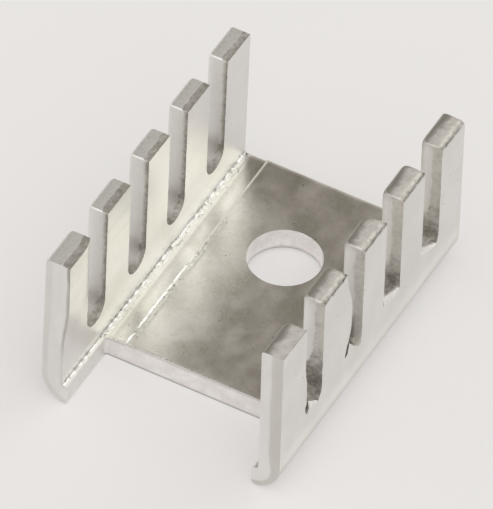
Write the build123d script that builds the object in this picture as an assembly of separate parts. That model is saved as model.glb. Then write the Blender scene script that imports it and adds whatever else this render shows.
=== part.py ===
from build123d import *
import os

# Channel section, in millimetres. X runs across the channel, Y along it, Z up from the underside.
width = 15.0
height = 10.95
left_wall_drop = 0.10
wall = 1.33
wall_draft = 0.10
base = 1.40
corner_radius = 1.95
foot_radius = 0.18

# Raised seat for the transistor between the walls
pad_margin = 1.42
pad_rise = 0.10
pad_step = 0.10

# Fingers, with one punched slot between each two. A shift is how far a slot sits off even spacing.
finger_width = 2.60
slot_width = 2.00
slot_shifts = (0.09, 0.13, -0.02, -0.05)
slot_floor_left = 3.12
slot_floor_right = 3.40

# Sheared edges: the side that the punch met first is drawn over, by these radii
rolled_edge_left = 0.12
rolled_edge_right = 0.15
rear_tip_radius = 0.12

# The tips of the right wall are worn off along their outer edge, and its front finger stands a little lower
worn_edge = 0.18
short_finger_drop = 0.20

# Front notch that lets the transistor's leads pass, with a stub of base left at each wall
notch_depth = 4.50
stub_left = 0.25
stub_right = 0.40
notch_corner_radius = 0.20
stub_edge_radius = 0.45

# Screw hole
hole_diameter = 4.35
hole_from_front = 14.75
hole_offset = -0.20
hole_rolled_edge = 0.15

# Sizes that follow from those above
slot_count = len(slot_shifts)
finger_count = slot_count + 1
length = finger_count * finger_width + slot_count * slot_width
front = -length / 2
rear = length / 2
inner_half = width / 2 - wall
seat = base + pad_rise
slot_radius = slot_width / 2
margin = 1.0


def channel_section():
    """The drawn profile: a U with rounded outer corners, leaning outer faces and a raised seat.

    The outer faces reach the full width where the corner arcs end, and lean in from there to the tips.
    """
    tip = width / 2 - wall_draft
    toe = width / 2 + wall_draft * corner_radius / (height - corner_radius)
    left_height = height - left_wall_drop
    tips = [(tip, height), (0, height), (0, left_height), (-tip, left_height)]
    outside = make_face(Polyline((-toe, 0), (toe, 0), *tips, close=True))
    outside = fillet(outside.vertices().sort_by(Axis.Y)[:2], corner_radius)
    step_foot = inner_half - pad_margin
    step_top = step_foot - pad_step
    right_side = [(step_top, seat), (step_foot, base), (inner_half, base), (inner_half, height + margin)]
    left_side = [(-x, z) for x, z in reversed(right_side)]
    channel = make_face(Polyline(*left_side, *right_side, close=True))
    feet = [v for v in channel.vertices() if abs(abs(v.X) - inner_half) < 0.001 and v.Y < seat]
    channel = fillet(feet, foot_radius)
    return outside - channel


def slot_centre(number):
    """Distance of a slot's middle line from the front end."""
    return finger_width + slot_radius + number * (finger_width + slot_width) + slot_shifts[number]


def slot_cutter(number, side, floor):
    """A round-bottomed slot through one wall; side is -1 for the left wall and 1 for the right."""
    y = front + slot_centre(number)
    rise = height + margin - floor - slot_radius
    straight = Pos(y, floor + slot_radius + rise / 2) * Rectangle(slot_width, rise)
    profile = straight + Pos(y, floor + slot_radius) * Circle(slot_radius)
    start = Plane.YZ.offset(side * (inner_half - margin))
    return extrude(start * profile, amount=side * (wall + 2 * margin))


def notch_cutter():
    """The lead notch, open at the front, with small radii in its two inner corners."""
    left = -inner_half + stub_left
    right = inner_half - stub_right
    depth = notch_depth + margin
    outline = Pos((left + right) / 2, front + notch_depth - depth / 2) * Rectangle(right - left, depth)
    corners = outline.vertices().sort_by(Axis.Y)[-2:]
    return extrude(Pos(0, 0, -margin) * fillet(corners, notch_corner_radius), amount=seat + 2 * margin)


def stub_edge_cutter():
    """Rounds the lower inner edge of the right stub, along the straight side of the notch."""
    x = inner_half - stub_right
    depth = notch_depth - notch_corner_radius + margin
    corner = Pos(x, 0) * Rectangle(2 * stub_edge_radius, 2 * stub_edge_radius)
    corner -= Pos(x + stub_edge_radius, stub_edge_radius) * Circle(stub_edge_radius)
    return extrude(Plane.XZ.offset(margin - front) * corner, amount=-depth)


def short_finger_cutter():
    """Takes the front finger of the right wall down to its own height."""
    reach = wall + 2 * margin
    across = 2 * (finger_width + slot_radius)
    block = Box(reach, across, short_finger_drop + margin)
    return Pos(inner_half + wall / 2, front, height + (margin - short_finger_drop) / 2) * block


def worn_edge_cutter():
    """Takes the outer edge off the tips of the right wall, at a slant, from end to end."""
    tip = width / 2 - wall_draft
    low = (tip + margin, height - worn_edge - margin)
    high = (tip - worn_edge - margin, height + margin)
    corner = make_face(Polyline(low, (tip + margin, height + margin), high, close=True))
    return extrude(Plane.XZ * corner, amount=length / 2 + margin, both=True)


def rolled_edges(body, x_low, x_high, floor):
    """The edges of tips and slots on one wall face that looks towards the punch."""
    found = []
    for face in body.faces():
        if face.normal_at().X < -0.99 and x_low < face.center().X < x_high and face.center().Z > base:
            found += [e for e in face.edges() if e.center().Z > floor - 0.01]
    return [e for e in found if abs(e.center().Y) < rear - 0.01]


def heat_sink():
    body = extrude(Plane.XZ * channel_section(), amount=length / 2, both=True)
    for number in range(slot_count):
        body -= slot_cutter(number, -1, slot_floor_left)
        body -= slot_cutter(number, 1, slot_floor_right)
    body -= notch_cutter()
    body -= stub_edge_cutter()
    body -= short_finger_cutter()
    hole = Cylinder(hole_diameter / 2, seat + 2 * margin)
    body -= Pos(hole_offset, front + hole_from_front, seat / 2) * hole

    rear_edges = [e for e in body.edges().filter_by(Axis.X) if e.center().Y > rear - 0.01]
    rear_tips = [e for e in rear_edges if e.center().Z > height - left_wall_drop - 0.01]
    body = fillet(rear_tips, rear_tip_radius)
    body = fillet(rolled_edges(body, -width / 2 - margin, -inner_half, slot_floor_left), rolled_edge_left)
    body = fillet(rolled_edges(body, 0, width / 2, slot_floor_right), rolled_edge_right)
    hole_rim = [e for e in body.edges().filter_by(GeomType.CIRCLE)
                if e.center().Z < 0.01 and abs(e.radius - hole_diameter / 2) < 0.001]
    body = fillet(hole_rim, hole_rolled_edge)
    body -= worn_edge_cutter()
    body.label = "heat_sink"
    return body


os.makedirs("parts", exist_ok=True)
export_step(heat_sink(), "parts/heat_sink.step")
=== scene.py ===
"""Looks of the channel heat sink: one closed mesh with its sheared edges, bare aluminium, floor and light.

Lengths are in millimetres until a mesh is made. As in the solid, X runs across the channel, Y along it from
the notched front, and Z up from the underside.
"""

import math
from functools import partial, reduce

import bmesh
import bpy
import numpy as np
from mathutils import Matrix, Vector, noise


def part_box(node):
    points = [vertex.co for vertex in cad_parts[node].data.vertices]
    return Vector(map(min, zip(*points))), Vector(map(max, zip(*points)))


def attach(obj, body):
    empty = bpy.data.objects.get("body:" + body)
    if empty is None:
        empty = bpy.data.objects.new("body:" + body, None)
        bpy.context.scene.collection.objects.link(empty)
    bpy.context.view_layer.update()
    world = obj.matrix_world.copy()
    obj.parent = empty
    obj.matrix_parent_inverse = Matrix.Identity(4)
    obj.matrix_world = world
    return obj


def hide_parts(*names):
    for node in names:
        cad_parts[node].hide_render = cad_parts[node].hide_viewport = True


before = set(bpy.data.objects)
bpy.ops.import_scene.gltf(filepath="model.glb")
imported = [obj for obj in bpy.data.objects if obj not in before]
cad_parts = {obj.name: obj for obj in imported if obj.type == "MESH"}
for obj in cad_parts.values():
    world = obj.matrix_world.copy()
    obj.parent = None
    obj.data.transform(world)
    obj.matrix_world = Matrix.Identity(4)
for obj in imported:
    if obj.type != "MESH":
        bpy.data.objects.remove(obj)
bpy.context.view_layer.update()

MM = 0.001
NODE = "heat_sink"
SKIN, SEAT, PUNCHED, CUT, SAWN = range(5)

# Overall size, from the frame
box_low, box_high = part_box(NODE)
width = (box_high.x - box_low.x) / MM
length = (box_high.y - box_low.y) / MM
height = box_high.z / MM
front = -length / 2
rear = length / 2

# Drawn section
wall = 1.33
wall_draft = 0.10
base = 1.40
corner_radius = 1.95
foot_radius = 0.13
pad_margin = 1.42
pad_rise = 0.10
inner_half = width / 2 - wall
seat_half = inner_half - pad_margin
seat = base + pad_rise

# Fingers and slots, with each slot's shift off even spacing
finger_width = 2.60
slot_width = 2.00
slot_shifts = (0.09, 0.13, -0.02, -0.05)
slot_floors = {-1: 3.12, 1: 3.40}
last_finger = len(slot_shifts)
tip_corner = 0.10
rear_tip_radius = 0.12
left_wall_drop = 0.10
worn_edge = 0.18
short_finger_drop = 0.20
inner_lean = 0.13

# Sheared edges: how far the punch drew the edge over, sideways and in depth, and how much a tip's corner
# radius grows for each millimetre of that
rolled_edges = {-1: 0.12, 1: 0.15}
roll_depths = {-1: 0.30, 1: 0.36}
corner_growth = 1.6

# How far the torn strip lies back: its middle, its roughness and its limit
recess = 0.018
recess_roughness = 0.030
deepest_recess = 0.10

# Notch and screw hole
notch_depth = 4.50
stub_left = 0.25
stub_right = 0.40
notch_corner_radius = 0.20
stub_edge_radius = 0.45
stub_top_radius = 0.22
stub_edge_fade = 0.40
rear_edge_drop = 0.05
notch_end = front + notch_depth
notch_corner = notch_end - notch_corner_radius
notch_left = stub_left - inner_half
notch_right = inner_half - stub_right
hole_radius = 2.175
hole_centre = (-0.20, front + 14.75)
hole_rolled_edge = 0.15

# Section of the seat's edge: distance inside its foot, and rise above the channel's floor
seat_edge_places = (0, 0.03, 0.05, 0.11, 0.19)
seat_edge_rises = (0, pad_rise, pad_rise + 0.040, pad_rise + 0.022, pad_rise)

# How finely the mesh is divided
side_steps = 42
top_steps = 16
arc_steps = 18
half_corner_steps = 2
low_rows = 7
corner_rows = 22
base_step = 0.15
edge_step = 0.05
low_level = 2.20
hole_rings = 10
hole_wall_rings = 9
turn_places = 6
hole_block = 3.0

# Rings of a comb: how many lie on its rolled edge, and at what shares of its cut strip and its torn strip
roll_rings = 7
cut_ring_shares = (0.34, 0.67, 1.0)
torn_ring_shares = (0.12, 0.28, 0.46, 0.64, 0.80, 0.91, 1.0)


def lerp(a, b, t):
    return a + (b - a) * t


def smooth(a, b, x):
    """0 below a, 1 above b, and a smooth rise between."""
    t = np.clip((x - a) / (b - a), 0, 1)
    return t * t * (3 - 2 * t)


def spaced(start, stop):
    """Even places from start to stop, about one base step apart."""
    return np.linspace(start, stop, max(1, round(abs(stop - start) / base_step)) + 1)


def joined(*runs):
    """Runs of places or points one after the other, without the doubled ends."""
    return np.concatenate([runs[0]] + [run[1:] for run in runs[1:]])


def after_step(start, step, stop, count):
    """Places from start to stop: one a step away from the start, and then so many even ones."""
    return joined([start, start + step], np.linspace(start + step, stop, count))


def stacked(*parts):
    """Points, marks or quads out of their parts, each an array or one number."""
    return np.stack(np.broadcast_arrays(*parts), -1)


def chord(points):
    """Share of a line's length at each of its points."""
    steps = np.linalg.norm(np.diff(points, axis=0), axis=1)
    along = np.concatenate([[0.0], np.cumsum(steps)])
    return along / along[-1]


def line(a, b, shares):
    return lerp(np.array(a), np.array(b), shares[:, None])


def shares_across(west, east, north, south):
    """Share of the way from west to east at each point of a patch."""
    v = ((chord(west) + chord(east)) / 2)[:, None]
    return lerp(chord(north), chord(south), v)


def patch(west, east, north, south):
    """A grid of points that fills the loop of four lines. West and east run down from the north line."""
    u = shares_across(west, east, north, south)[..., None]
    v = ((chord(west) + chord(east)) / 2)[:, None, None]
    inside = lerp(west[:, None], east[:, None], u)
    top_rest = north - line(north[0], north[-1], chord(north))
    bottom_rest = south - line(south[0], south[-1], chord(south))
    return inside + (1 - v) * top_rest + v * bottom_rest


def noise_at(points, scale, seed):
    """Smooth noise, about -1 to 1, at points in millimetres. The scale is the pattern's size."""
    places = points.reshape(-1, 3) / scale + np.array([17.3, 5.1, 9.7]) * seed
    values = [noise.fractal(Vector(place), 0.6, 2.0, 3) for place in places]
    return np.array(values).reshape(points.shape[:-1])


# The walls and their combs

def outer_x(z):
    """Distance of a wall's outer face from the middle, above the corner arc."""
    return width / 2 - wall_draft * (z - corner_radius) / (height - corner_radius)


def inner_x(side, z):
    """Distance of a wall's inner face from the middle. The right wall's fingers lean in a little."""
    lean = inner_lean if side > 0 else 0
    return inner_half - lean * np.clip((z - low_level) / (height - low_level), 0, 1)


def face_x(side, outer, z):
    return side * (outer_x(z) if outer else inner_x(side, z))


def slot_centre(number):
    step = finger_width + slot_width
    return front + finger_width + slot_width / 2 + number * step + slot_shifts[number]


def slot_level(side):
    """Height at which the straight sides of a wall's slots end and their round floors start."""
    return slot_floors[side] + slot_width / 2


def finger_span(number):
    start = front if number == 0 else slot_centre(number - 1) + slot_width / 2
    end = rear if number == last_finger else slot_centre(number) - slot_width / 2
    return start, end


def finger_top(side, number):
    return height - (left_wall_drop if side < 0 else short_finger_drop if number == 0 else 0)


def arc(centre, radius, start, end, steps):
    """Points (y, z) on an arc, with its angles in degrees from +Y towards +Z."""
    angles = np.radians(np.linspace(start, end, steps + 1))
    return stacked(centre[0] + radius * np.cos(angles), centre[1] + radius * np.sin(angles))


def comb(side, inset):
    """The comb's outline drawn in by an inset, as a list of (name, finger or slot, points (y, z))."""
    level = slot_level(side)
    corner = tip_corner + corner_growth * inset
    side_shares = np.linspace(0, 1, side_steps + 1)
    pieces = []
    for number in range(last_finger + 1):
        top = finger_top(side, number) - inset
        start, end = finger_span(number)
        start += inset if number > 0 else 0
        end -= inset if number < last_finger else 0
        left, right = start, end
        over = []
        if number > 0:
            left += corner
            turn = (left, top - corner)
            rise = line((start, level), (start, top - corner), side_shares)
            pieces.append(("up", number, joined(rise, arc(turn, corner, 180, 135, half_corner_steps))))
            over.append(arc(turn, corner, 135, 90, half_corner_steps))
        radius, lowest = (corner, 45) if number < last_finger else (rear_tip_radius, 0)
        right -= radius
        turn = (right, top - radius)
        places = np.linspace(left, right, top_steps + 1)
        if number == 0:
            places = after_step(left, edge_step, right, top_steps)
        over.append(stacked(places, top))
        over.append(arc(turn, radius, 90, lowest, half_corner_steps * (90 - lowest) // 45))
        pieces.append(("over", number, joined(*over)))
        if number < last_finger:
            fall = line((end, top - corner), (end, level), side_shares)
            pieces.append(("down", number, joined(arc(turn, corner, 45, 0, half_corner_steps), fall)))
            floor_arc = arc((slot_centre(number), level), slot_width / 2 + inset, 180, 360, arc_steps)
            pieces.append(("arc", number, floor_arc))
    return pieces


# The ledge torn in each slot of the right wall: its height above the floor at the slot's front and rear side,
# the share of the torn depth where it starts, and how much the outer face loses
ledges = {
    0: (1.30, 0.15, 0.70, 0.55),
    1: (1.80, 0.20, 0.25, 0),
    2: (1.30, 0.72, 0.60, 0.4),
    3: (1.27, 0.30, 0.60, 0.4),
}
ledge_roughness = 0.06
ledge_sink = 0.8

# The gap that the ledge leaves at the front side of the first two slots: down to what height, and how wide
gap_heights = {0: 3.75, 1: 4.20}
gap_share = 0.24

# Rear sides of the right wall's fingers that bulge where the punch left them: how far, and over what heights
bulges = {0: (0.26, 2.0, 2.5, 5.6, 8.0), 1: (0.72, 3.9, 6.3, 7.6, 10.7), 2: (0.12, 2.0, 2.5, 12.0, 12.5)}

# The bulge inside the left wall's front finger: its reach, the heights between which it rises, and how far
# from the slot it fades out
front_bulge = 0.30
front_bulge_heights = (4.2, 7.8)
front_bulge_fade = 1.2

# Sheared edges of the left wall: what share is torn, how dark the tear is, and how dull the cut part is. The
# fingers' sides are dull near the slots' floors alone, partly as painted shade deep in the slots.
left_tears = {
    "over": (0.40, 0.62, -0.60),
    "arc": (0.34, 0.66, 0.68),
    "up": (0.26, 0.80, 0.60),
    "down": (0.15, 0.75, 0.60),
}

# The same on the right wall, and for the front sides of its fingers from the second one on: how dark the tear
# gets towards the slot's floor, partly torn metal and partly painted shade deep in the slot, and between
# which shares of the way down
right_tears = {"over": (0.74, 0.15, 0.72), "down": (0.20, 0.50, 0)}
tears = {1: (0.95, 0.52, 0.66), 2: (0.15, 0.60, 0.80), 3: (0.85, 0.66, 0.78), 4: (0.80, 0.66, 0.80)}


def slot_share(y, number):
    """Share of the way across a slot, from its front side to its rear side."""
    return (y - slot_centre(number)) / slot_width + 0.5


def in_gap(share):
    """1 in the gap at the front side of a slot, and 0 past it."""
    return smooth(gap_share + 0.06, gap_share, share)


def torn_shares(side, name, number, points):
    """The torn share of the wall's thickness, how dark the tear is, and how dull the cut part is."""
    down = np.clip((height - points[:, 1]) / (height - slot_floors[side]), 0, 1)
    if side < 0:
        share, dark, dull = left_tears[name]
        dull *= smooth(0.70, 0.97, down) if name in ("up", "down") else 1
    elif name == "arc":
        dark = tears[number + 1][0]
        share = 0.55 if dark < 0.5 else 0.93
        # The gap at a slot's front side is painted fully dark, as painted shade in the gap.
        dark = lerp(dark, 1.0, in_gap(slot_share(points[:, 0], number)) if number in gap_heights else 0)
        # The round floors are painted dull, partly as painted shade deep in the slots.
        dull = 0.95
    elif name == "up":
        deepest, start, end = tears[number]
        share = lerp(0.48, 0.88 if deepest > 0.5 else 0.46, smooth(start - 0.06, end + 0.12, down))
        way = 0.40 * smooth(start - 0.03, start + 0.03, down) + 0.60 * smooth(end, end + 0.08, down)
        # Towards the floor the front sides are painted darker and dull, partly torn metal and partly painted
        # shade deep in the slot; at the top edge, painted shade dims the highlight.
        dark = lerp(0.18, deepest, way) + 0.15 * smooth(0.08, 0.02, down)
        dull = np.maximum(0.9 * smooth(0.66, 0.80, down), 0.66 * smooth(0.03, 0.01, down))
    else:
        share, dark, dull = right_tears[name]
    return [value + 0 * down for value in (share, dark, dull)]


class Comb:
    """One wall's punched surface: rings of points from the face that the punch met to the face it left by."""

    def __init__(self, side):
        self.side = side
        self.slices = {}
        pieces = comb(side, 0)
        start = 0
        for name, number, points in pieces:
            self.slices[name, number] = slice(start, start + len(points))
            start += len(points) - 1
        self.outline = joined(*[points for _, _, points in pieces])
        self.along = chord(self.outline) * np.linalg.norm(np.diff(self.outline, axis=0), axis=1).sum()
        values = zip(*[torn_shares(side, *piece) for piece in pieces])
        share, self.dark, self.dull = [self.softened(joined(*runs)) for runs in values]
        here = stacked(self.along, 0, 0)
        torn = share * (1 + 0.22 * noise_at(here, 1.1, 3 + side)) + 0.015 * noise_at(here, 0.25, 8 + side)
        self.break_line = 1 - np.clip(torn, 0.06, 0.93)
        self.tops = self.shares_of("over")
        rings = self.cut_rings() + self.torn_rings()
        self.rings, self.across, self.darkness = [np.array(values) for values in zip(*rings)]

    def softened(self, values):
        """A running average over seven points."""
        return np.convolve(np.pad(values, 3, mode="edge"), np.ones(7) / 7, mode="valid")

    def shares_of(self, kind):
        """1 on the pieces of one kind, and 0 elsewhere."""
        shares = np.zeros(len(self.outline))
        for (name, _), part in self.slices.items():
            if name == kind:
                shares[part] = 1
        return shares

    def cut_rings(self):
        """Rings down to the break line: the edge that the punch drew over, and the strip that it cut."""
        rings = []
        roll_end = np.minimum(roll_depths[self.side] / wall, 0.8 * self.break_line)
        for angle in np.radians(np.linspace(0, 90, roll_rings)):
            drawn = comb(self.side, rolled_edges[self.side] * (1 - math.sin(angle)))
            ring = joined(*[points for _, _, points in drawn])
            # On the right wall the tops' rolled edge is painted fully dull, partly as painted shade that dims
            # the lamp's highlight on it.
            dull = self.dull + 0.28 * self.tops * (self.side > 0)
            rings.append(self.ring(ring, roll_end * (1 - math.cos(angle)), dull))
        for share in cut_ring_shares:
            rings.append(self.ring(self.outline, lerp(roll_end, self.break_line, share), self.dull))
        return rings

    def torn_rings(self):
        """Rings from the break line to the face that the punch left by, with ledges, bulges and wear."""
        rings = []
        y, z = self.outline.T
        tangent = np.gradient(self.outline, axis=0)
        tangent /= np.linalg.norm(tangent, axis=1)[:, None]
        inward = stacked(tangent[:, 1], -tangent[:, 0])
        inward[-1] = inward[0]
        even = np.maximum(self.tops, self.shares_of("arc"))
        ledge, ledge_start, lost, bright_ledges = self.ledge_shift()
        for share in torn_ring_shares:
            depth = lerp(self.break_line, 1.0, share)
            spot = stacked(depth * wall, y, z)
            back = recess + recess_roughness * noise_at(spot, 0.22, 20 + self.side)
            back = np.clip(back * smooth(0, 0.5, share), 0, deepest_recess)
            stands = smooth(ledge_start, ledge_start + 0.2, share)
            ring = self.outline + inward * back[:, None]
            ring += ledge * (stands * (1 - lost * (share == 1)))[:, None]
            worn = self.worn_off(depth, spot) * self.tops * (y > front + finger_width)
            ring[:, 1] -= worn
            patchy = noise_at(spot, 0.35, 40 + self.side) * (0.5 if self.side < 0 else 1.0)
            tone = self.dark * (1 + 0.45 * patchy) + 0.10 * patchy
            if self.side < 0:
                tone *= np.maximum(even, smooth(-0.1, 0.9, share))
                tone = np.maximum(tone, 0.8 * smooth(0.6, 1.0, share))
            else:
                # The worn-off outer edge is painted darker, as painted shade that dims its highlight; the
                # shadow line is a painted shadow; the tops' strip next to the break is painted darker, partly
                # as painted shade.
                tone += 0.60 * smooth(0, 0.06, worn) + self.shadow_line(depth)
                tone += 0.40 * self.tops * smooth(0.45, 0, share)
            # The ledges' tops are painted bright, a painted highlight where they face up, apart from the
            # gaps.
            shelf = stands * smooth(0.02, 0.10, ledge[:, 1]) * bright_ledges
            rings.append(self.ring(ring, depth, lerp(np.clip(tone, 0, 1), -0.55, shelf)))
        return rings

    def worn_off(self, depth, spot):
        """How much is worn off the tips' outer edge on the right wall, at a share of the wall's thickness."""
        if self.side < 0:
            return 0 * depth
        past = np.clip((depth - 1) * wall / (1.5 * worn_edge) + 1, 0, 1)
        rough = 1 + 0.5 * noise_at(spot * (0, 1, 0), 0.35, 90)
        return worn_edge * past ** 1.3 * rough

    def shadow_line(self, depth):
        """The dark line down the front side of the right wall's third finger, and across the ledge."""
        y, z = self.outline.T
        shares = 0 * depth
        part = self.slices["up", 2]
        shares[part] = smooth(6.2, 5.4, z[part]) * smooth(0.66, 0.54, depth[part])
        part = self.slices["arc", 1]
        reach = 0.54 + 0.82 * (1 - slot_share(y[part], 1))
        shares[part] = smooth(reach + 0.12, reach, depth[part])
        return shares

    def ledge_shift(self):
        """How far ledges and bulges stand off the outline, from what share of the torn depth, what the outer
        face loses of them, and 1 where they are bright."""
        y, z = self.outline.T
        shift = np.zeros_like(self.outline)
        starts = np.full(len(z), 0.2)
        lost = np.zeros(len(z))
        bright = np.ones(len(z))
        if self.side < 0:
            return shift, starts, lost, bright
        for number, (front_rise, rear_rise, start, loss) in ledges.items():
            part = self.slices["arc", number]
            share = slot_share(y[part], number)
            rough = noise_at(stacked(y[part], z[part], 0), 0.30, 60 + number)
            rise = lerp(front_rise, rear_rise, smooth(0, 1, share)) + ledge_roughness * rough
            lowest = -ledge_sink * smooth(0.5, 0.8, share) if number == 1 else 0
            rise = np.maximum(slot_floors[1] + rise - z[part], lowest)
            if number in gap_heights:
                gap_rise = np.maximum(gap_heights[number] - z[part], 0)
                rise = lerp(gap_rise, rise, smooth(gap_share - 0.08, gap_share, share))
                # No painted highlight on the ledge in the gap, nor in the second slot.
                bright[part] = 1 - in_gap(share) if number == 0 else 0
            shift[part, 1] = rise * smooth(0, 0.06, share) * smooth(0, 0.06, 1 - share)
            starts[part] = start
            lost[part] = loss
        for number, (reach, low, rise, fall, high) in bulges.items():
            part = self.slices["down", number]
            shift[part, 0] = reach * smooth(low, rise, z[part]) * smooth(high, fall, z[part])
            part = self.slices["arc", number]
            reach *= smooth(low, rise, slot_level(1))
            shift[part, 0] = reach * (1 - slot_share(y[part], number)) ** 3
        return shift, starts, lost, bright

    def ring(self, points, across, darkness):
        """A ring's points (y, z) at a share of the wall's thickness, from the face that the punch met."""
        met = face_x(self.side, self.side < 0, points[:, 1])
        left_by = face_x(self.side, self.side > 0, points[:, 1])
        return stacked(lerp(met, left_by, across), *points.T), across, darkness

    def marks(self):
        """Length along the outline, depth from 0 to 1 at the break line and on to 2, and darkness."""
        beyond = 1 + (self.across - self.break_line) / (1 - self.break_line + 1e-9)
        depth = np.where(self.across <= self.break_line, self.across / self.break_line, beyond)
        return stacked(self.along, depth, self.darkness)


def wall_columns():
    """Places along Y of the columns below the comb, from end to end, with one at the notch's corner."""
    past_notch = notch_end + 0.07
    steps_past = 4
    runs = []
    for number in range(last_finger):
        start, end = finger_span(number)
        if number == 0:
            runs.append(after_step(start, edge_step, end, top_steps + half_corner_steps))
        else:
            runs.append(np.linspace(start, end, top_steps + 2 * half_corner_steps + 1))
        reach = finger_span(number + 1)[0]
        if end < notch_corner < reach:
            up_to_corner = np.linspace(end, notch_corner, arc_steps - steps_past)
            past_corner = np.linspace(past_notch, reach, steps_past + 1)
            runs.append(joined(up_to_corner, [notch_corner, past_notch], past_corner))
        else:
            runs.append(np.linspace(end, reach, arc_steps + 1))
    rear_steps = rear - edge_step * np.array([3, 2, 1, 0])
    steps = top_steps + 3 * half_corner_steps - 2
    runs.append(joined(np.linspace(reach, rear_steps[0], steps), rear_steps))
    return joined(*runs)


class Surface:
    """Collects grids of points, and makes one closed mesh of them."""

    def __init__(self):
        self.parts = []
        self.count = 0

    def add(self, grid, material, marks=None, left_out=None):
        """Takes rows of points, with a quad between each four apart from those left out."""
        index = np.arange(grid[..., 0].size).reshape(grid.shape[:2]) + self.count
        quads = stacked(index[:-1, :-1], index[:-1, 1:], index[1:, 1:], index[1:, :-1])
        quads = quads.reshape(-1, 4) if left_out is None else quads[~left_out]
        marks = 0 * grid if marks is None else marks
        self.parts.append((grid.reshape(-1, 3), quads, np.full(len(quads), material), marks.reshape(-1, 3)))
        self.count += index.size

    def mesh(self, name):
        """One mesh of all grids, with their marks in two layers, shear and tone."""
        points, quads, materials, marks = [np.concatenate(parts) for parts in zip(*self.parts)]
        points = bulged(points)
        points[:, 2] = points[:, 2].clip(0, height)
        made = bpy.data.meshes.new(name)
        made.from_pydata((points * MM).tolist(), [], quads.tolist())
        made.polygons.foreach_set("material_index", materials.astype(np.int32))
        marks = marks[quads.ravel()].astype(np.float32)
        for layer, part in (("shear", marks[:, :2]), ("tone", marks[:, [2, 2]])):
            made.uv_layers.new(name=layer).uv.foreach_set("vector", part.ravel())
        work = bmesh.new()
        work.from_mesh(made)
        bmesh.ops.remove_doubles(work, verts=work.verts, dist=1e-5 * MM)
        bmesh.ops.recalc_face_normals(work, faces=work.faces)
        work.to_mesh(made)
        work.free()
        return made


def add_wall(surface, side, columns):
    """A wall's punched comb and both its faces. Returns the comb, and each face's front and rear line."""
    wall_comb = Comb(side)
    surface.add(wall_comb.rings, PUNCHED, wall_comb.marks())
    slices = wall_comb.slices
    level = slot_level(side)
    to_level = after_step(0, edge_step / height, 1, side_steps + half_corner_steps)
    to_low = after_step(0, 0.04, 1, low_rows)
    ends = {}
    for ring, outer in ((0, side < 0), (-1, side > 0)):
        points = wall_comb.rings[ring]
        level_x = face_x(side, outer, level)
        tips = [points[slices["over", number]] for number in range(last_finger + 1)]
        front_line = line(tips[0][0], (level_x, front, level), to_level)
        rear_line = line(tips[-1][-1], (level_x, rear, level), to_level)
        upper = []
        for number, north in enumerate(tips):
            west = points[slices["up", number]][::-1] if number > 0 else front_line
            east = points[slices["down", number]] if number < last_finger else rear_line
            south = line(west[-1], east[-1], chord(north))
            surface.add(patch(west, east, north, south), SKIN)
            upper.append(south)
            if number < last_finger:
                upper.append(points[slices["arc", number]])
        upper = joined(*upper)
        lower = sweep_along(np.array([[face_x(side, outer, low_level), low_level]]), columns)[0]
        west = line(upper[0], lower[0], to_low)
        east = line(upper[-1], lower[-1], to_low)
        grid = patch(west, east, upper, lower)
        surface.add(grid, SKIN, corner_marks(grid) if outer else None)
        ends[outer] = joined(front_line, west), joined(rear_line, east)
    return wall_comb, ends


def corner_profile(side, outer, cut):
    """Section points (x, z) from the wall down to where the notch is cut, at cut from the middle."""
    if outer:
        centre = (width / 2 - corner_radius, corner_radius)
        sweep = math.degrees(math.acos((cut - centre[0]) / corner_radius))
        fall = np.array([[outer_x(low_level), low_level], [width / 2, corner_radius]])
        profile = joined(fall, arc(centre, corner_radius, 0, -sweep, corner_rows - 1))
    else:
        centre = (inner_half - foot_radius, base + foot_radius)
        foot_steps = 10
        band_steps = 4
        fall_steps = corner_rows - foot_steps - band_steps
        fall = np.linspace((inner_half, low_level), (inner_half, centre[1]), fall_steps + 1)
        foot = arc(centre, foot_radius, 0, -90, foot_steps)
        band = np.linspace((centre[0], base), (cut, base), band_steps + 1)
        profile = joined(fall, foot, band)
    return profile * (side, 1)


def rear_drop(y):
    """How far the channel's floor is drawn down at its rear edge."""
    return rear_edge_drop * np.clip((y - rear) / (2 * edge_step) + 1, 0, 1) ** 2


def lowered_floor(grid, side):
    """The inner foot of a wall, lowered at the rear edge, and rounded over the right stub's upper edge."""
    x, y, z = np.moveaxis(grid, -1, 0)
    flat = np.clip((base + foot_radius - z) / foot_radius, 0, 1)
    drop = rear_drop(y) * flat
    if side > 0:
        past = np.clip(1 - (x - notch_right) / stub_top_radius, 0, 1)
        drop += stub_fade(y) * stub_top_radius * (1 - np.sqrt(1 - past ** 2))
    return grid - stacked(0, 0, drop)


def stub_fade(y):
    """1 along the right stub, and 0 at the notch's corner."""
    return smooth(notch_corner, notch_corner - stub_edge_fade, y)


def round_stub_edge(grid):
    """Rounds the lower inner edge of the right stub, less and less towards the notch's corner."""
    radius = stub_edge_radius * stub_fade(grid[..., 1])
    across = radius + notch_right - grid[..., 0]
    up = radius - grid[..., 2]
    inside = (across > 0) & (up > 0)
    keep = np.where(inside, np.maximum(across, up) / np.hypot(across, up).clip(1e-9), 1)
    return grid + stacked(across * (1 - keep), 0, up * (1 - keep))


def sweep_along(profile, columns):
    """A grid with the section's points (x, z) at each place along Y."""
    return stacked(profile[:, :1], columns, profile[:, 1:])


def bulged(points):
    """All points, with the left wall's front finger drawn towards the channel."""
    x, y, z = points.T
    share = np.clip((x + outer_x(z)) / wall, 0, 1) * (x < 0)
    past = np.clip((finger_span(0)[1] - y) / front_bulge_fade, 0, 1)
    reach = smooth(*front_bulge_heights, z) * (1 - (1 - past) ** 2)
    return points + stacked(front_bulge * share * reach, 0, 0)


# The base, its notch and its hole

def top_z(x):
    """Height of the channel's floor, with the raised seat and the small burr along its edges."""
    inside = seat_half - np.abs(x)
    return base + np.interp(inside, seat_edge_places, seat_edge_rises)


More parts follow.
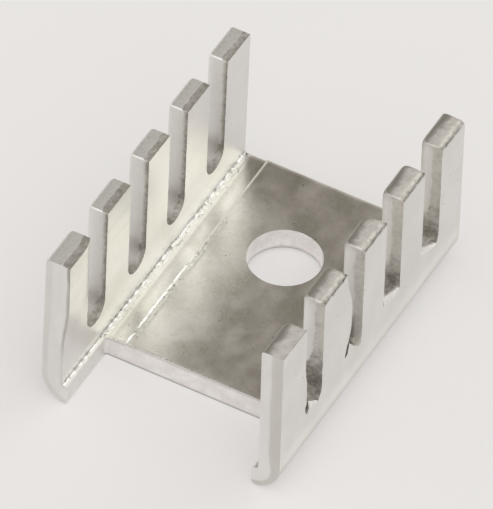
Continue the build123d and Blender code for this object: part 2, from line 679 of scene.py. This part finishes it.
def bottom_z(x):
    past = np.clip(np.abs(x) - (width / 2 - corner_radius), 0, None)
    return corner_radius - np.sqrt(corner_radius ** 2 - past ** 2)


def base_columns(block_left, block_right):
    """Places along X of the base's columns, from one stub's cut to the other's."""
    turn = notch_corner_radius * (1 - np.cos(np.radians(np.linspace(0, 90, turn_places))))
    return joined(
        notch_left + turn,
        spaced(notch_left + notch_corner_radius, -seat_half),
        -seat_half + np.array(seat_edge_places),
        spaced(-seat_half + seat_edge_places[-1], block_left),
        spaced(block_left, block_right),
        spaced(block_right, seat_half - seat_edge_places[-1]),
        seat_half - np.array(seat_edge_places)[::-1],
        spaced(seat_half, notch_right - notch_corner_radius),
        (notch_right - turn)[::-1],
    )


def notch_line(x):
    """Place along Y of the notch's inner end, with its rounded corners, at each x."""
    into_corner = np.clip(notch_corner_radius - np.minimum(x - notch_left, notch_right - x), 0, None)
    return notch_corner + np.sqrt(notch_corner_radius ** 2 - into_corner ** 2)


def around(grid, rows, columns):
    """The closed loop of points round a block of a grid."""
    block = grid[rows[0]:rows[1] + 1, columns[0]:columns[1] + 1]
    return joined(block[0], block[:, -1], block[-1, ::-1], block[::-1, 0])


def ring_round_hole(loop, radius, z):
    offsets = loop[:, :2] - hole_centre
    offsets *= radius / np.linalg.norm(offsets, axis=1)[:, None]
    return stacked(*(offsets + hole_centre).T, z)


def add_base(surface, columns, across):
    """Top and bottom of the base, with the hole and the notch's end. Returns the base's rear lines."""
    block_x, block_y = [(place - hole_block, place + hole_block) for place in hole_centre]
    xs = base_columns(*block_x)
    rows = columns[columns > notch_end + 0.01]
    first, final = np.searchsorted(rows, block_y) + 1
    left, right = [np.argmin(np.abs(xs - place)) for place in block_x]
    left_out = np.zeros((len(rows), len(xs) - 1), bool)
    left_out[first:final, left:right] = True
    grids = []
    for material, edge in ((SEAT, hole_radius), (SKIN, hole_radius + hole_rolled_edge)):
        grid = stacked(xs, np.append(0, rows)[:, None], top_z(xs) if material == SEAT else bottom_z(xs))
        grid[0, :, 1] = notch_line(xs)
        marks = None
        if material == SEAT:
            burr = np.clip(grid[..., 2] - seat, 0, None)
            grid[..., 2] -= rear_drop(grid[..., 1]) + 0.7 * burr * smooth(0.0, 4.0, grid[..., 1])
            marks = edge_marks(grid)
        surface.add(grid, material, marks, left_out)
        grids.append(grid)
        loop = around(grid, (first, final), (left, right))
        rim = ring_round_hole(loop, edge, loop[0, 2])
        surface.add(np.linspace(loop, rim, hole_rings + 1), material)
    top, bottom = grids
    add_hole_wall(surface, loop)
    add_notch_end(surface, bottom[0], top[0], across)
    return bottom[-1], top[-1]


def add_hole_wall(surface, loop):
    """The hole's wall, with its rolled lower rim, painted dark at its lowest part as painted shade above the
    floor.
    """
    turn = np.radians(np.linspace(0, 90, turn_places))
    radii = joined(hole_radius + hole_rolled_edge * (1 - np.sin(turn)), np.full(hole_wall_rings, hole_radius))
    straight = np.linspace(hole_rolled_edge, seat, hole_wall_rings)
    levels = joined(hole_rolled_edge * (1 - np.cos(turn)), straight)
    rings = np.array([ring_round_hole(loop, radius, z) for radius, z in zip(radii, levels)])
    length_round = chord(rings[-1]) * 2 * math.pi * hole_radius
    depth = np.clip((levels - hole_rolled_edge) / (seat - hole_rolled_edge), 0, 1) * 1.25
    dull = 0.9 * smooth(hole_rolled_edge + 0.06, 0.3 * hole_rolled_edge, levels)
    surface.add(rings, CUT, stacked(length_round, depth[:, None], dull[:, None]))


def add_notch_end(surface, low, high, across):
    """The sheared end of the notch, painted dark along its lower edge as painted contact shadow, and a little
    dull along its upper edge.
    """
    dull = 0.08 + 0.75 * smooth(0.09, 0.02, across)
    dull += 0.35 * smooth(0.86, 0.91, across) * smooth(0.97, 0.93, across)
    marks = stacked(low[:, 0], 0.9 * across[:, None], dull[:, None])
    surface.add(lerp(low, high, across[:, None, None]), CUT, marks)


def add_rear_end(surface, outer, inner, left_tip, right_tip, across):
    """The sawn rear end, a U of rows from the outer line to the inner one, which follow the rounded tips."""
    rows = lerp(outer[:, None], inner[:, None], across[:, None])
    for tip in (left_tip, right_tip):
        shares = chord(tip)
        rest = tip - line(tip[0], tip[-1], shares)
        for index in range(len(outer)):
            fall = (height - outer[index, 2]) / height
            if outer[index, 0] * tip[0, 0] < 0 or fall > 0.85:
                continue
            spread = lerp(shares, across, min(1, fall / 0.6))
            rows[index] = line(outer[index], inner[index], spread) + rest * max(0, 1 - fall / 0.12) ** 2
    rows[0] = left_tip
    rows[-1] = right_tip
    surface.add(rows, SAWN)


def end_marks(side, west, east, north, south):
    """Marks of a wall's front end, which was sheared too: painted shade where it rolls over, and darker
    towards +X.
    """
    across = shares_across(west, east, north, south)
    z = (west[:, 2] + east[:, 2])[:, None] / 2 + 0 * across
    place = across + 0.03 * noise_at(stacked(across, z, 0), (9, 1.6, 1), 70 + side)
    if side < 0:
        middle_and_tip = 0.42 * smooth(3.0, 5.5, z) + 0.38 * smooth(9.2, 10.3, z)
        dull = 0.26 * smooth(0.36, 0.24, place) + 0.30 * smooth(0.80, 0.90, place)
        dull += middle_and_tip * smooth(0.82, 0.97, place)
    else:
        edge = 0.42 + 0.24 * smooth(3.2, 1.0, z)
        upper = 0.15 * smooth(4.0, 7.0, z)
        dull = lerp(upper, 0.46, smooth(edge, edge + 0.14, place))
        # The right front finger's top edge is painted dull, as painted shade that dims the highlight along
        # it.
        dull = np.maximum(dull, 0.6 * smooth(0.10, 0.03, height - short_finger_drop - z))
    return stacked(z, 0.5 * across, dull)


def stub_marks(grid):
    """Marks of a stub's cut side, with its upper edge painted bright, a painted highlight."""
    bright = smooth(0.16, 0.04, base - grid[..., 2])
    return stacked(grid[..., 1], 0.5, -bright)


def foot_tone(x, z):
    """1 in the radius at a wall's foot, where a painted highlight line goes, and a galling strip on both
    sides, down to 0.
    """
    past = np.hypot(np.abs(x) - (inner_half - 0.4 * foot_radius), z - (base + 0.4 * foot_radius))
    return np.maximum(smooth(0.115, 0.045, past), 0.6 * smooth(0.44, 0.18, past))


def foot_marks(grid):
    """Marks of a foot's line of galling and painted highlight, the darker band beside it, and the right
    stub's lighter top.
    """
    x, y, z = np.moveaxis(grid, -1, 0)
    band = smooth(0.30, 0.50, inner_half - np.abs(x))
    band += 0.5 * smooth(0.35, 0.55, z - base) * smooth(1.2, 0.8, z - base)
    on_stub = (y < notch_end) & (x > 0) & (z < base + 0.5 * foot_radius)
    tone = np.where(on_stub, 0.15, foot_tone(x, z) - 0.22 * band)
    return stacked(y, on_stub, tone)


def corner_marks(grid):
    """Marks of the outer corners: painted shade on their lower part, and a painted light strip above it."""
    z = grid[..., 2]
    pale = smooth(3.2, 2.3, z) * smooth(1.80, 1.95, z)
    return stacked(grid[..., 1], pale, -0.46 * smooth(1.90, 1.20, z))


def edge_marks(grid):
    """Marks of the channel's floor: lines of galling along the seat and the walls, dark bands, pale edges."""
    x, y, z = np.moveaxis(grid, -1, 0)
    inside = seat_half - np.abs(x)
    burr = smooth(0.0, 0.05, inside) * smooth(0.19, 0.11, inside) * (1 - 0.35 * smooth(0.0, 4.0, y))
    scuffs = 0.6 * smooth(0.05, 0.12, inside) * smooth(0.65, 0.20, inside)
    tone = np.maximum(np.maximum(burr, scuffs) * smooth(6.5, 4.0, y), foot_tone(x, z))
    tone = np.maximum(tone, 0.55 * smooth(0.14, 0.05, y - notch_end))
    tone -= 0.36 * smooth(-0.30, -0.80, inside) * (tone < 0.01)
    # Pale along the seat's edge and at the rear edge: partly burnished metal, partly a painted highlight on
    # these edges.
    pale = smooth(0.0, 0.03, inside) * smooth(0.16, 0.10, inside) * smooth(0.5, 3.0, y)
    pale = np.maximum(pale, 0.6 * smooth(0.30, 0.08, rear - y))
    return stacked(y, pale, tone)


def heat_sink_mesh():
    surface = Surface()
    columns = wall_columns()
    cuts = {-1: -notch_left, 1: notch_right}
    stub_columns = columns[columns < notch_corner + 0.001]
    outlines = {}
    for side in (-1, 1):
        wall_comb, ends = add_wall(surface, side, columns)
        across = np.linspace(0, 1, len(wall_comb.rings))
        lips = {}
        for outer in (True, False):
            profile = corner_profile(side, outer, cuts[side])
            lips[outer] = profile[-1]
            grid = sweep_along(profile, columns)
            marks = corner_marks(grid) if outer else foot_marks(grid)
            if outer and side > 0:
                grid = round_stub_edge(grid)
            if not outer:
                grid = lowered_floor(grid, side)
            surface.add(grid, SKIN, marks)
            ends[outer] = [joined(end, grid[:, at]) for end, at in zip(ends[outer], (0, -1))]
        met, left_by = (side < 0, side > 0)
        stub = sweep_along(line(lips[met], lips[left_by], across), stub_columns)
        if side > 0:
            low = stub[-1, :, 2]
            stub[..., 2] -= (stub[..., 2] - low) / (base - low) * stub_fade(stub_columns) * stub_top_radius
            stub = round_stub_edge(stub)
        surface.add(stub, PUNCHED, stub_marks(stub))
        edges = (ends[met][0], ends[left_by][0], wall_comb.rings[:, 0], stub[:, 0])
        surface.add(patch(*edges), PUNCHED, end_marks(side, *edges))
        outlines[side] = ends[True][1], ends[False][1], wall_comb.rings[:, -1]
    low, high = add_base(surface, columns, across)
    outer = joined(outlines[-1][0], low, outlines[1][0][::-1])
    inner = joined(outlines[-1][1], high, outlines[1][1][::-1])
    add_rear_end(surface, outer, inner, outlines[-1][2], outlines[1][2][::-1], across)
    return surface.mesh(NODE)


# Materials. Each pair of colours is what clouds or grain vary between.

# The first colour below is bright metal for wear and specks, and also paints highlights: the foot lines'
# cores, the ledge tops, the stubs' upper edges and a strip low on the outer corners. The second is dark for
# pits, and also paints shade: low on the outer corners, at the hole's foot, along the notch end's lower edge
# and in the gaps of the foot lines.
wear_and_highlight_bright = (0.94, 0.94, 0.92)
pit_and_shade_dark = (0.24, 0.225, 0.20)
skin_colours = ((0.745, 0.732, 0.70), (0.805, 0.787, 0.762))
skin_speck = (0.45, 0.43, 0.39)
seat_colours = ((0.70, 0.685, 0.635), (0.84, 0.82, 0.78))
seat_stain = (0.45, 0.43, 0.375)
seat_grain = (0.50, 0.48, 0.43)
seat_pale = (0.93, 0.885, 0.83)
burnished_colours = ((0.80, 0.785, 0.76), (0.84, 0.825, 0.80))
# The dull burnished colour is also painted shade, where it dims highlights deep in the slots and on the right
# wall's tips.
burnished_dull_and_shade = (0.44, 0.42, 0.38)
torn_pale_colours = ((0.74, 0.715, 0.675), (0.79, 0.77, 0.73))
torn_dark_colours = ((0.28, 0.26, 0.23), (0.44, 0.41, 0.37))
cut_colours = ((0.90, 0.87, 0.855), (0.98, 0.96, 0.95))
cut_grain = (0.62, 0.59, 0.56)
sawn_colours = ((0.74, 0.725, 0.70), (0.82, 0.81, 0.785))


class Nodes:
    """A node tree, with short ways to add and join its nodes."""

    def __init__(self, tree):
        self.tree = tree

    def add(self, kind, **inputs):
        node = self.tree.nodes.new(kind)
        for name, value in inputs.items():
            self.join(node, name.replace("_", " "), value)
        return node

    def join(self, node, name, value):
        socket = node.inputs[name]
        if isinstance(value, bpy.types.NodeSocket):
            self.tree.links.new(value, socket)
        else:
            socket.default_value = value

    def math(self, operation, *values, kind="ShaderNodeMath"):
        node = self.add(kind)
        node.operation = operation
        for index, value in enumerate(values):
            self.join(node, index, value)
        return node.outputs["Value" if operation == "DOT_PRODUCT" else 0]

    def times(self, *values):
        return reduce(partial(self.math, "MULTIPLY"), values)

    def plus(self, *values):
        return reduce(partial(self.math, "ADD"), values)

    def stepped(self, value, low, high, to_low=0.0, to_high=1.0):
        """A smooth rise from to_low at low to to_high at high."""
        if low > high:
            low, high, to_low, to_high = high, low, to_high, to_low
        node = self.add("ShaderNodeMapRange", Value=value, From_Min=low, From_Max=high, To_Min=to_low,
                        To_Max=to_high)
        node.interpolation_type = "SMOOTHSTEP"
        return node.outputs["Result"]

    def mixed(self, factor, a, b):
        node = self.add("ShaderNodeMix")
        node.data_type = "RGBA"
        self.join(node, "Factor", factor)
        for socket, colour in ((6, a), (7, b)):
            self.join(node, socket, (*colour, 1) if isinstance(colour, tuple) else colour)
        return node.outputs[2]


class Shader(Nodes):
    """A node material of bare aluminium. Its textures are laid out in millimetres on the object."""

    def __init__(self, name):
        self.material = bpy.data.materials.new(name)
        self.material.use_nodes = True
        super().__init__(self.material.node_tree)
        self.principled = self.tree.nodes["Principled BSDF"]
        self.join(self.principled, "Metallic", 1)
        self.place = self.scaled(self.add("ShaderNodeTexCoord").outputs["Object"], 1000)
        self.marks = self.uv("shear")
        self.depth = self.part(self.marks, "Y")
        self.tone = self.part(self.uv("tone"), "X")

    def uv(self, name):
        node = self.add("ShaderNodeUVMap")
        node.uv_map = name
        return node.outputs["UV"]

    def part(self, vector, axis):
        return self.add("ShaderNodeSeparateXYZ", Vector=vector).outputs[axis]

    def scaled(self, vector, factors):
        return self.math("MULTIPLY", vector, np.broadcast_to(factors, 3), kind="ShaderNodeVectorMath")

    def noise(self, factors, detail=3.0, vector=None):
        """Noise of about 0 to 1, with this many waves per millimetre along each axis."""
        places = self.scaled(vector or self.place, factors)
        node = self.add("ShaderNodeTexNoise", Vector=places, Scale=1.0, Detail=detail, Roughness=0.55)
        return node.outputs["Fac"]

    def specks(self, per_mm, radius, share):
        """Small round specks, 1 inside: so many places to a millimetre, with this share of them filled."""
        cells = self.add("ShaderNodeTexVoronoi", Vector=self.scaled(self.place, per_mm), Scale=1.0)
        inside = self.stepped(cells.outputs["Distance"], radius * per_mm, 0.5 * radius * per_mm)
        chosen = self.stepped(self.part(cells.outputs["Color"], "X"), share + 0.01, share)
        return self.times(inside, chosen)

    def paint(self, factor, colour):
        """Lays a colour over the ones so far, where the factor is 1."""
        self.colour = self.mixed(factor, self.colour, colour)

    def finished(self, roughness, *reliefs):
        """The material with its colour, roughness and fine relief, given as (pattern, height) pairs."""
        relief = self.plus(*[self.times(pattern, rise) for pattern, rise in reliefs])
        normal = self.add("ShaderNodeBump", Height=relief, Distance=MM).outputs["Normal"]
        for name, value in (("Base Color", self.colour), ("Roughness", roughness), ("Normal", normal)):
            self.join(self.principled, name, value)
        return self.material


def galled_lines_and_glints(shader, wholeness=0.0):
    """Paints galling lines and glints where the tone is above 0, and returns the pattern of their relief.
    A line's bright core is a painted highlight, with gaps painted dark, fewer with more wholeness.
    Bright flecks, which are painted glints, and dark flecks lie on both sides.
    """
    strip = shader.stepped(shader.tone, 0.05, 0.50)
    core = shader.stepped(shader.tone, 0.62, 0.90)
    breaks = shader.noise(2.2)
    gaps = shader.times(core, shader.stepped(breaks, 0.54 - wholeness, 0.44 - wholeness, 0, 0.45))
    ridge = shader.times(core, shader.stepped(breaks, 0.46 - wholeness, 0.60 - wholeness, 0, 0.9))
    bright = shader.times(strip, shader.stepped(shader.noise((6, 4, 6), detail=2.0), 0.55, 0.64), 0.8)
    dark = shader.times(strip, shader.stepped(shader.noise((5, 3.5, 4), detail=2.0), 0.59, 0.66), 0.65)
    for factor, colour in ((gaps, pit_and_shade_dark), (bright, wear_and_highlight_bright), (ridge, wear_and_highlight_bright), (dark, pit_and_shade_dark)):
        shader.paint(factor, colour)
    return shader.times(strip, shader.noise((5, 3.5, 5), detail=2.0))


def skin_material():
    """The drawn faces: cloudy sheen, faint lines along Y, specks, galling with painted glints, painted shade
    and light.
    """
    shader = Shader("aluminium_skin")
    lines = shader.noise((6, 0.12, 6))
    clouds = shader.noise((0.55, 0.40, 0.30))
    grain = shader.noise(7, detail=1.0)
    painted_lighter = shader.depth
    shader.colour = shader.mixed(shader.stepped(clouds, 0.35, 0.65), *skin_colours)
    shader.paint(shader.specks(1.1, 0.07, 0.22), skin_speck)
    relief = galled_lines_and_glints(shader)
    # Below 0 the tone paints dark: painted shade low on the outer corners, and the darker band beside the
    # feet.
    shader.paint(shader.stepped(shader.tone, 0, -1), pit_and_shade_dark)
    # The strip above the outer corners' lower part is painted light; the right stub's top is painted lighter.
    shader.paint(shader.times(painted_lighter, 0.40), wear_and_highlight_bright)
    core = shader.stepped(shader.tone, 0.55, 0.85)
    rough = shader.stepped(shader.plus(lines, clouds), 0.7, 1.3, 0.28, 0.40)
    rough = shader.plus(rough, shader.times(core, 0.12), shader.times(painted_lighter, 0.22))
    return shader.finished(rough, (lines, 0.003), (grain, 0.002), (relief, 0.03))


def seat_material():
    """The channel's floor: olive clouds, stains, grain, specks, galling with glints, dark bands and pale
    lines.
    """
    shader = Shader("aluminium_seat")
    clouds = shader.noise((0.50, 0.42, 0.50), detail=4.0)
    stains = shader.noise((0.30, 0.26, 0.30))
    grain = shader.noise(4.5)
    waves = shader.noise(2.2, detail=1.0)
    pale = shader.depth
    shader.colour = shader.mixed(shader.stepped(clouds, 0.36, 0.64), *seat_colours)
    shader.paint(shader.stepped(stains, 0.54, 0.70, 0, 0.48), seat_stain)
    shader.paint(shader.stepped(grain, 0.46, 0.74, 0, 0.25), seat_grain)
    shader.paint(shader.specks(1.9, 0.060, 0.22), pit_and_shade_dark)
    shader.paint(shader.specks(1.5, 0.055, 0.26), wear_and_highlight_bright)
    relief = galled_lines_and_glints(shader, 0.12)
    shader.paint(shader.stepped(shader.tone, 0, -1), pit_and_shade_dark)
    # The pale lines are partly burnished metal and partly a painted highlight.
    shader.paint(shader.times(pale, 0.7), seat_pale)
    rough = shader.plus(shader.stepped(clouds, 0.36, 0.64, 0.27, 0.34), shader.times(pale, 0.30))
    return shader.finished(rough, (waves, 0.0018), (relief, 0.03))


def punched_material():
    """Sheared edges: a burnished strip with lines through the thickness, then a rough, dull torn one."""
    shader = Shader("aluminium_punched")
    jagged = shader.times(shader.plus(shader.noise(3.5, detail=4.0), -0.5), 0.45)
    torn = shader.stepped(shader.plus(shader.depth, jagged), 0.96, 1.10)
    # Above 0 the tone paints dull and dark: the torn metal, and also painted shade deep in the slots and on
    # the right tips. Below 0 it paints bright patches: on the left tops' cut strip, and painted highlights on
    # the ledges' tops and the stubs' upper edges.
    dull = shader.stepped(shader.tone, 0, 1)
    patchy = shader.stepped(shader.noise((6, 5, 6)), 0.36, 0.56)
    worn = shader.times(shader.stepped(shader.tone, 0, -1), patchy)
    lines = shader.noise((4, 0.3, 1), vector=shader.marks)
    patches = shader.noise((1.2, 1.2, 0.5))
    grain = shader.noise(4.5)
    burnished = shader.mixed(shader.stepped(patches, 0.34, 0.66), *burnished_colours)
    burnished = shader.mixed(dull, burnished, burnished_dull_and_shade)
    pale = shader.mixed(shader.stepped(grain, 0.36, 0.64), *torn_pale_colours)
    dark = shader.mixed(shader.stepped(grain, 0.36, 0.68), *torn_dark_colours)
    shader.colour = shader.mixed(torn, burnished, shader.mixed(dull, pale, dark))
    shader.paint(shader.times(torn, shader.specks(2.2, 0.055, 0.14)), wear_and_highlight_bright)
    shader.paint(worn, wear_and_highlight_bright)
    rough = shader.stepped(torn, 0, 1, 0.46, 0.56)
    return shader.finished(rough, (lines, 0.002), (grain, 0.002), (shader.times(torn, grain), 0.009))


def cut_material():
    """The notch's end and the hole's wall, pale and scored by the punch, with dark edges: painted shade at
    the lower ones, and a dull line at the notch's upper edge.
    """
    shader = Shader("aluminium_cut")
    lines = shader.noise((4, 0.3, 1), vector=shader.marks)
    patches = shader.noise(1.2)
    grain = shader.noise(5)
    shader.colour = shader.mixed(shader.stepped(patches, 0.34, 0.66), *cut_colours)
    shader.paint(shader.stepped(grain, 0.56, 0.72, 0, 0.30), cut_grain)
    shader.paint(shader.tone, pit_and_shade_dark)
    return shader.finished(shader.stepped(lines, 0.3, 0.7, 0.56, 0.66), (lines, 0.003), (grain, 0.003))


def sawn_material():
    """The rear end, with the saw's fine lines along X."""
    shader = Shader("aluminium_sawn")
    lines = shader.noise((1.0, 4, 8))
    patches = shader.noise(0.9)
    shader.colour = shader.mixed(shader.stepped(patches, 0.3, 0.7), *sawn_colours)
    return shader.finished(shader.stepped(lines, 0.3, 0.7, 0.38, 0.50), (lines, 0.004))


# The piece

def shown(name, data):
    """A new object of the scene."""
    made = bpy.data.objects.new(name, data)
    bpy.context.scene.collection.objects.link(made)
    return made


def make_heat_sink():
    piece = shown(NODE + "_look", heat_sink_mesh())
    for make in (skin_material, seat_material, punched_material, cut_material, sawn_material):
        piece.data.materials.append(make())
    piece.data.shade_smooth()
    piece.data.set_sharp_from_angle(angle=math.radians(32))
    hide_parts(NODE)
    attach(piece, "root")


# Camera, light and floor

camera_azimuth = 26.757
camera_elevation = 46.204
camera_roll = 2.751
camera_target = Vector((-1.096, 1.243, 4.0)) * MM
camera_distance = 0.624042
camera_lens = 793.5

dim_side = (-0.31, 0.62, 0.72)
dim_core = 16
dim_reach = 46
dim_colour = (0.250, 0.225, 0.195)
room_colour = (0.93, 0.92, 0.91)

paper_colour = (0.79, 0.772, 0.762)
paper_glow = 0.50
floor_reach = 1.5
floor_level = -0.02 * MM


def make_camera():
    azimuth, elevation, roll = map(math.radians, (camera_azimuth, camera_elevation, camera_roll))
    level = math.cos(elevation)
    back = Vector((math.sin(azimuth) * level, -math.cos(azimuth) * level, math.sin(elevation)))
    right = (-back).cross(Vector((0, 0, 1))).normalized()
    turn = Matrix.Rotation(roll, 3, back)
    axes = Matrix((turn @ right, turn @ right.cross(-back), back)).transposed()
    place = camera_target + back * camera_distance
    data = bpy.data.cameras.new("camera")
    data.lens = camera_lens
    data.sensor_width = 36
    data.clip_start = 0.05
    data.clip_end = 20
    camera = shown("camera", data)
    camera.matrix_world = Matrix.Translation(place) @ axes.to_4x4()
    bpy.context.scene.camera = camera


def make_lamp(name, direction, half_angle, radiance, colour):
    """A round softbox far off in one direction, which looks this wide and this bright from the object."""
    away = 3.0
    radius = away * math.tan(math.radians(half_angle))
    data = bpy.data.lights.new(name, "AREA")
    data.shape = "DISK"
    data.size = 2 * radius
    data.energy = radiance * (math.pi * radius) ** 2
    data.color = colour
    lamp = shown(name, data)
    towards = Vector(direction).normalized()
    lamp.location = towards * away
    lamp.rotation_euler = towards.to_track_quat("Z", "Y").to_euler()
    lamp.visible_camera = False


def make_world():
    """A pale room with one dim side high up behind the piece, and plain pale to the camera itself."""
    world = bpy.data.worlds.new("room")
    bpy.context.scene.world = world
    world.use_nodes = True
    nodes = Nodes(world.node_tree)
    direction = nodes.add("ShaderNodeTexCoord").outputs["Generated"]
    to_dim_side = Vector(dim_side).normalized()
    towards = nodes.math("DOT_PRODUCT", direction, to_dim_side, kind="ShaderNodeVectorMath")
    dim = nodes.stepped(towards, *[math.cos(math.radians(angle)) for angle in (dim_reach, dim_core)])
    seen = nodes.add("ShaderNodeLightPath").outputs["Is Camera Ray"]
    colour = nodes.mixed(seen, nodes.mixed(dim, room_colour, dim_colour), paper_colour)
    nodes.join(nodes.tree.nodes["Background"], "Color", colour)


def make_floor():
    """Pale paper, which looks a little bright in its own shadows, to the camera and in reflections."""
    mesh = bpy.data.meshes.new("floor")
    signs = ((-1, -1), (1, -1), (1, 1), (-1, 1))
    mesh.from_pydata([(x * floor_reach, y * floor_reach, floor_level) for x, y in signs], [], [(0, 1, 2, 3)])
    paper = bpy.data.materials.new("pale_paper")
    paper.use_nodes = True
    nodes = Nodes(paper.node_tree)
    shader = nodes.tree.nodes["Principled BSDF"]
    nodes.join(shader, "Base Color", (*[share * (1 - paper_glow) for share in paper_colour], 1))
    nodes.join(shader, "Roughness", 0.9)
    nodes.join(shader, "Specular IOR Level", 0)
    nodes.join(shader, "Emission Color", (*paper_colour, 1))
    seen = nodes.add("ShaderNodeLightPath").outputs
    either = nodes.math("MAXIMUM", seen["Is Camera Ray"], seen["Is Glossy Ray"])
    nodes.join(shader, "Emission Strength", nodes.times(either, paper_glow))
    mesh.materials.append(paper)
    shown("floor", mesh)


make_heat_sink()
make_camera()
make_world()
make_lamp("key_softbox", (0.31, 0.62, 0.72), 20, 1.15, (0.97, 1.0, 0.945))
make_lamp("fill_softbox", (0.25, -0.55, 0.80), 30, 0.9, (1.0, 0.99, 0.98))
make_floor()
bpy.context.scene.view_settings.view_transform = "Standard"
